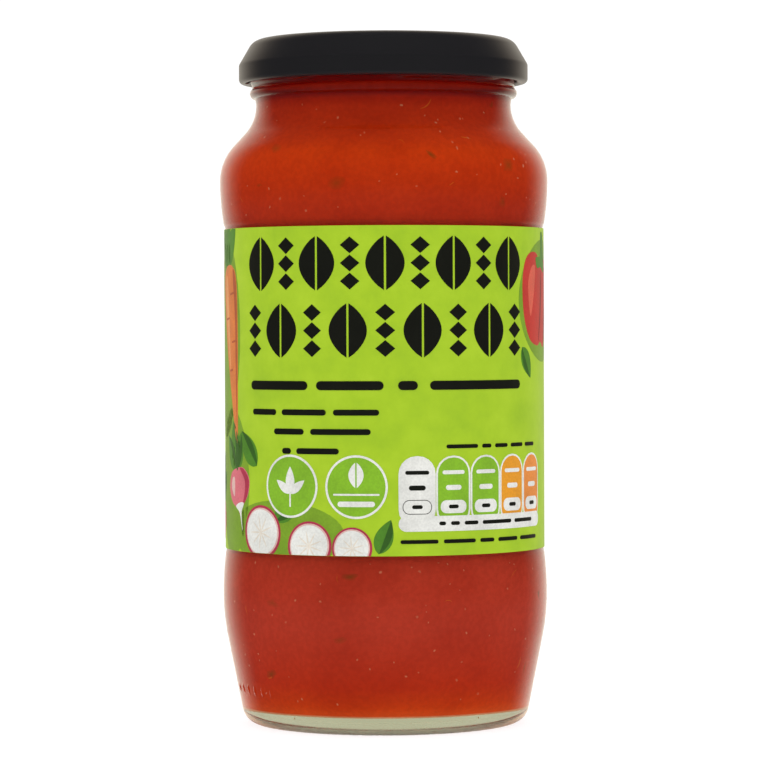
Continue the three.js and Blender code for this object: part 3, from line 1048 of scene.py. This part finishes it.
def label_sheet():
    """The wrapped sheet as a closed solid, its end lapped over its start."""
    bm = bmesh.new()
    steps = 400
    length = TURN + LAP_END - LAP_START
    rings = []
    for i in range(steps + 1):
        turn = LAP_START + length * i / steps
        lapped = smooth((turn - LAP_START - TURN + LAP_EASE) / LAP_EASE)
        shift = (PAPER + PAPER_GAP) * lapped
        corners = (
            (PAPER_INNER_RADIUS, LABEL_BOTTOM_Z),
            (PAPER_OUTER_RADIUS, LABEL_BOTTOM_Z),
            (PAPER_OUTER_RADIUS, LABEL_TOP_Z),
            (PAPER_INNER_RADIUS, LABEL_TOP_Z),
        )
        rings.append([bm.verts.new(around(radius + shift, turn, z)) for radius, z in corners])
    bridge_all(bm, rings)
    bm.faces.new(rings[0])
    bm.faces.new(rings[-1])
    return bm


def radius_at(outline, z):
    """Radius of an outline that climbs, at a height."""
    for low, high in zip(outline, outline[1:]):
        if low[1] <= z <= high[1] and high[1] > low[1]:
            return low[0] + (high[0] - low[0]) * (z - low[1]) / (high[1] - low[1])
    return outline[-1][0]


# One kind of bit in the sauce, with sizes in millimetres
BitKind = namedtuple("BitKind", "name seed count length slimness bend firmness")
HERBS = BitKind("herb_flecks", 5, 30, (2.2, 5.5), (0.35, 0.8), 0.5, 0.4)
SEEDS = BitKind("pale_specks", 8, 260, (0.5, 1.15), (0.5, 0.9), 0.0, 0.5)
FIBRES = BitKind("fine_shreds", 3, 26, (2.0, 4.5), (0.06, 0.12), 0.8, 0.9)
VISIBLE_BANDS = ((7.0, 39.0), (7.0, 39.0), (115.0, 142.0), (115.0, 142.0))
LUMP_CORNERS = 12
LUMP_RINGS = ((0, 0.05), (0.55, 0.04), (1, -0.03), (0, -0.15))


class Lump:
    """One bit: its place, size, tilt, bend, uneven rim and strength of colour, drawn by chance."""

    def __init__(self, kind, rng):
        low, high = rng.choice(VISIBLE_BANDS)
        self.z = rng.uniform(low, high)
        self.turn = rng.uniform(-math.pi, math.pi)
        self.length = rng.uniform(*kind.length) / 2
        self.width = self.length * rng.uniform(*kind.slimness)
        self.tilt = rng.uniform(0, math.pi)
        self.bend = rng.uniform(-kind.bend, kind.bend)
        self.wobble = [rng.uniform(0.7, 1.15) for _ in range(LUMP_CORNERS)]
        self.force = rng.uniform(0.35, 0.85)

    def point(self, climb, share, corner, proud):
        """A point some share of the way out to a corner, and proud of the sauce in millimetres."""
        a = TURN * corner / LUMP_CORNERS
        out = share * self.wobble[corner]
        along = out * self.length * math.cos(a)
        across = out * self.width * math.sin(a) + self.bend * (along / self.length) ** 2
        shift = along * math.cos(self.tilt) - across * math.sin(self.tilt)
        z = self.z + along * math.sin(self.tilt) + across * math.cos(self.tilt)
        radius = radius_at(climb, z)
        return around(radius + proud, self.turn + shift / radius, z)


def bits_mesh(kind, outline):
    """Small uneven flat lumps in the sauce's surface, strong in the middle and faint at the rim."""
    rng = random.Random(kind.seed)
    climb = [p for p in outline if p[0] > BORE_RADIUS - 2]
    bm = bmesh.new()
    strength = bm.verts.layers.float.new("strength")
    for _ in range(kind.count):
        lump = Lump(kind, rng)
        rings = []
        for share, proud in LUMP_RINGS:
            corners = range(LUMP_CORNERS if share else 1)
            rings.append([bm.verts.new(lump.point(climb, share, i, proud)) for i in corners])
        rings[0][0][strength] = lump.force
        for v in rings[1]:
            v[strength] = lump.force * kind.firmness
        bridge_all(bm, rings)
    return bm


# Settings


def colour_setting(name, description, hex_colour):
    return bpy.props.FloatVectorProperty(
        name=name, description=description, size=4, subtype="COLOR", default=srgb(hex_colour)
    )


def length_setting(name, description, metres):
    return bpy.props.FloatProperty(
        name=name, description=description, unit="LENGTH", default=metres, precision=5
    )


class SauceJarSizes(bpy.types.PropertyGroup):
    wall: length_setting("Wall", "Thickness of the glass wall", 0.0025)
    sauce_reach: length_setting("Sauce reach", "How far the sauce's surface reaches into the glass", 0.00004)
    camera_distance: length_setting("Camera distance", "From the camera to the jar's axis", 0.828)
    camera_height: length_setting("Camera height", "Height of the camera over the floor", 0.092)


class SauceJarLooks(bpy.types.PropertyGroup):
    glass_tint: colour_setting("Glass tint", "Colour that white light takes on in thick glass", "#BEC08C")
    glass_tint_density: bpy.props.FloatProperty(
        name="Tint density", description="How quickly the tint builds up with depth", default=25.0
    )
    sauce_colour: colour_setting("Sauce", "Main colour of the sauce", "#E23E18")
    sauce_pale: colour_setting("Pale sauce", "Pinker sauce in the lower bulge", "#E24C34")
    # Painted light on the sauce: at the shoulder and base, a painted glow through the base, and a painted lit
    # edge at the base.
    sauce_painted_light: colour_setting("Sauce painted light", "More orange sauce at shoulder and base", "#EE4A0E")
    sauce_painted_glow: colour_setting("Sauce painted glow", "Orange sauce lit through the thick base", "#F65C1E")
    sauce_painted_edge_light: colour_setting("Sauce painted edge light", "Thin lit edge of the sauce at the base", "#FCE4B4")
    # Painted shade on the sauce: behind and under the bead, and under the lid.
    sauce_neck_painted_shade: colour_setting("Sauce painted neck shade", "Dark red sauce behind the bead and under it", "#C82A12")
    sauce_painted_shade: colour_setting("Sauce painted shade", "Darkest red, at the bead and under the lid", "#980A04")
    herb_colour: colour_setting("Herb", "Colour of the herb flecks", "#6E4E16")
    seed_colour: colour_setting("Seed", "Colour of the pale specks", "#F6B48A")
    fibre_colour: colour_setting("Fibre", "Colour of the fine shreds", "#F08A2C")
    lid_colour: colour_setting("Lid", "Colour of the lid's lacquer", "#18171A")
    label_colour: colour_setting("Label", "Main green of the label", "#A1C504")
    label_shade: colour_setting("Label shade", "Darker clouds of the green", "#97BD03")
    label_light: colour_setting("Label light", "Lighter clouds of the green", "#AACC14")
    ink_colour: colour_setting("Ink", "Dark ink of the print", "#14160A")


# Operators


class SAUCEJAR_OT_stage(bpy.types.Operator):
    """Make the pale floor and backdrop, the soft studio light and the camera"""

    bl_idname = "saucejar.stage"
    bl_label = "Stage"

    def execute(self, context):
        make_backdrop()
        make_world(context.scene)
        make_lamps()
        make_camera(context.scene)
        return {"FINISHED"}


class SAUCEJAR_OT_glass(bpy.types.Operator):
    """Make the glass jar with its threads and mould dots"""

    bl_idname = "saucejar.glass"
    bl_label = "Glass"

    def execute(self, context):
        scene = context.scene
        outline = glass_outline(scene.sauce_jar_sizes.wall / MM)
        bm = turned(outline, glass_turns(), glass_relief)
        glass = new_piece("jar_glass", bm, glass_material(scene.sauce_jar_looks), 50)
        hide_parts("glass_jar")
        return {"FINISHED"}


class SAUCEJAR_OT_sauce(bpy.types.Operator):
    """Fill the jar with sauce"""

    bl_idname = "saucejar.sauce"
    bl_label = "Sauce"

    def execute(self, context):
        scene = context.scene
        sizes = scene.sauce_jar_sizes
        looks = scene.sauce_jar_looks
        outline = sauce_outline(sizes.wall / MM, sizes.sauce_reach / MM)
        bm = turned(outline, even_turns(240))
        sauce = new_piece("sauce_fill", bm, sauce_material(looks))
        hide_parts("tomato_sauce")
        colours = (looks.herb_colour, looks.seed_colour, looks.fibre_colour)
        for kind, colour in zip((HERBS, SEEDS, FIBRES), colours):
            material = bit_material(kind.name.replace("_", " ") + " in tomato puree", looks, colour)
            new_piece(kind.name, bits_mesh(kind, outline), material)
        return {"FINISHED"}


class SAUCEJAR_OT_lid(bpy.types.Operator):
    """Make the black metal lid with its rolled edge, lugs and button"""

    bl_idname = "saucejar.lid"
    bl_label = "Lid"

    def execute(self, context):
        bm = turned(lid_outline(), even_turns(288), lug_relief)
        lid = new_piece("lid_tinplate", bm, lacquer_material(context.scene.sauce_jar_looks))
        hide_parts("metal_lid")
        return {"FINISHED"}


class SAUCEJAR_OT_label(bpy.types.Operator):
    """Wrap the paper label round the panel and print it"""

    bl_idname = "saucejar.label"
    bl_label = "Label"

    def execute(self, context):
        looks = context.scene.sauce_jar_looks
        sheet = new_piece("label_paper", label_sheet(), paper_material(looks))
        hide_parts("paper_label")
        label = LabelPrint()
        for add_part in PRINT_PARTS:
            add_part(label)
        inks = {name: ink_material(name, srgb(colour)) for name, colour in INK_COLOURS.items()}
        inks["dark"] = ink_material("dark", looks.ink_colour)
        for (ink, level), shapes in label.layers.items():
            new_piece(f"print_{ink}_{level}", print_mesh(shapes, level), inks[ink])
        return {"FINISHED"}


# Stage

IMAGE_SIDE = 768
HORIZON_ROW = 323.1
FOCAL_PIXELS = 3588
SENSOR_MM = 36.0
ROLL = math.radians(-0.225)
SIDE_SHIFT_PIXELS = 0.5
FLOOR_GAP = 0.00004


def make_camera(scene):
    """A long lens a little above the jar's middle, tipped down by under a degree."""
    sizes = scene.sauce_jar_sizes
    data = bpy.data.cameras.new("camera")
    data.sensor_width = SENSOR_MM
    data.lens = SENSOR_MM * FOCAL_PIXELS / IMAGE_SIDE
    data.shift_x = -SIDE_SHIFT_PIXELS / IMAGE_SIDE
    camera = add_object("camera", data)
    down = math.atan((IMAGE_SIDE / 2 - HORIZON_ROW) / FOCAL_PIXELS)
    aim = Matrix.Rotation(HALF_PI - down, 4, "X") @ Matrix.Rotation(ROLL, 4, "Z")
    camera.matrix_world = Matrix.Translation((0, -sizes.camera_distance, sizes.camera_height)) @ aim
    scene.camera = camera


def make_backdrop():
    """A pale sheet that runs from the floor up into a wall, lit from behind as a light table is.
    Mirrored rays pass it by, so the glass and the lid show the studio instead."""
    material, shader = new_material("opal acrylic sheet")
    set_sockets(material, shader, Base_Color=srgb("#7A7A7A"), Roughness=0.9)
    set_sockets(material, shader, Emission_Color=(1, 1, 1, 1), Emission_Strength=0.86)
    half_width, front, back, height, bend = 4.0, -4.0, 2.5, 4.0, 1.2
    section = [(front, -FLOOR_GAP)]
    for i in range(17):
        a = -HALF_PI + HALF_PI * i / 16
        section.append((back - bend + bend * math.cos(a), bend + bend * math.sin(a) - FLOOR_GAP))
    section.append((back, height))
    bm = bmesh.new()
    columns = [[bm.verts.new((x, y, z)) for y, z in section] for x in (-half_width, half_width)]
    for i in range(len(section) - 1):
        bm.faces.new((columns[0][i], columns[1][i], columns[1][i + 1], columns[0][i + 1]))
    backdrop = mesh_object("backdrop", bm, material)
    backdrop.visible_glossy = False


def make_world(scene):
    """Scattered light is soft and comes from all round, most from above and behind. Mirrored rays see
    a warm bright wall behind the jar and a dim studio in front of it, a little lighter low down. All
    other rays see white."""
    world = bpy.data.worlds.new("studio")
    world.use_nodes = True
    way = add_node(world, "ShaderNodeTexCoord").outputs["Generated"]
    parts = add_node(world, "ShaderNodeSeparateXYZ", Vector=way).outputs
    above = add_node(world, "ShaderNodeMapRange", Value=parts["Z"], From_Min=-1, To_Min=0.42, To_Max=1.02)
    beyond = add_node(world, "ShaderNodeMapRange", Value=parts["Y"], From_Max=0.6, To_Max=0.75)
    soft = add_node(world, "ShaderNodeMath", {"operation": "ADD"}, _0=above, _1=beyond)
    eased = {"interpolation_type": "SMOOTHSTEP"}
    wall_share = add_node(
        world, "ShaderNodeMapRange", eased, Value=parts["Y"], From_Min=0.44, From_Max=0.96
    )
    stops = [(0.0, (0, 0, 0, 1)), (0.5, (0.48, 0.39, 0.29, 1)), (1.0, (0.96, 0.88, 0.74, 1))]
    wall = add_node(world, "ShaderNodeValToRGB", {"stops": stops}, Fac=wall_share)
    level = add_node(world, "ShaderNodeMapRange", Value=parts["Z"], From_Min=-1)
    greys = ((0.1, 0.2), (0.2, 0.1), (0.44, 0.1), (0.49, 0.05))
    stops = [(place, (grey, grey, grey, 1)) for place, grey in greys]
    front = add_node(world, "ShaderNodeValToRGB", {"stops": stops}, Fac=level)
    added = {"data_type": "RGBA", "blend_type": "ADD"}
    mirrored = add_node(world, "ShaderNodeMix", added, _0=1, _6=wall, _7=front)
    rays = add_node(world, "ShaderNodeLightPath").outputs
    mixed = {"data_type": "RGBA"}
    is_mirrored = rays["Is Reflection Ray"]
    seen = add_node(world, "ShaderNodeMix", mixed, _0=is_mirrored, _6=(1, 1, 1, 1), _7=mirrored)
    beyond_half = {"operation": "GREATER_THAN"}
    scattered = add_node(world, "ShaderNodeMath", beyond_half, _0=rays["Diffuse Depth"], _1=0.5)
    light = add_node(world, "ShaderNodeMix", mixed, _0=scattered, _6=seen, _7=soft)
    set_sockets(world, world.node_tree.nodes["Background"], Color=light, Strength=1)
    scene.world = world
    scene.view_settings.view_transform = "Standard"


def make_lamps():
    """Two tall softboxes in front, one on each side, and one overhead."""
    for name, place, size, power in (
        ("softbox_left", (-0.9, -0.9, 0.5), (0.5, 1.0), 1.6),
        ("softbox_right", (0.9, -0.9, 0.5), (0.5, 1.0), 1.6),
        ("softbox_top", (0.0, -0.1, 1.3), (1.0, 1.0), 4.0),
    ):
        data = bpy.data.lights.new(name, "AREA")
        data.shape = "RECTANGLE"
        data.size, data.size_y = size
        data.energy = power
        lamp = add_object(name, data)
        lamp.location = place
        lamp.visible_glossy = False
        aim = Vector((0, 0, 0.08)) - Vector(place)
        lamp.rotation_euler = aim.to_track_quat("-Z", "Y").to_euler()


# Panel and registration


class SAUCEJAR_PT_panel(bpy.types.Panel):
    """Lists the steps and settings of the jar"""

    bl_idname = "SAUCEJAR_PT_panel"
    bl_label = "Tomato Sauce Jar"
    bl_space_type = "VIEW_3D"
    bl_region_type = "UI"
    bl_category = "Sauce Jar"

    def draw(self, context):
        layout = self.layout
        for operator in OPERATORS:
            layout.operator(operator.bl_idname)
        for group in (context.scene.sauce_jar_sizes, context.scene.sauce_jar_looks):
            for name in group.__annotations__:
                layout.prop(group, name)


OPERATORS = (
    SAUCEJAR_OT_stage,
    SAUCEJAR_OT_glass,
    SAUCEJAR_OT_sauce,
    SAUCEJAR_OT_lid,
    SAUCEJAR_OT_label,
)
CLASSES = (SauceJarSizes, SauceJarLooks, *OPERATORS, SAUCEJAR_PT_panel)


def register():
    for cls in CLASSES:
        bpy.utils.register_class(cls)
    bpy.types.Scene.sauce_jar_sizes = bpy.props.PointerProperty(type=SauceJarSizes)
    bpy.types.Scene.sauce_jar_looks = bpy.props.PointerProperty(type=SauceJarLooks)


def unregister():
    del bpy.types.Scene.sauce_jar_looks
    del bpy.types.Scene.sauce_jar_sizes
    for cls in reversed(CLASSES):
        bpy.utils.unregister_class(cls)


def main():
    register()
    bpy.ops.saucejar.stage()
    bpy.ops.saucejar.glass()
    bpy.ops.saucejar.sauce()
    bpy.ops.saucejar.lid()
    bpy.ops.saucejar.label()


if __name__ == "__main__":
    main()
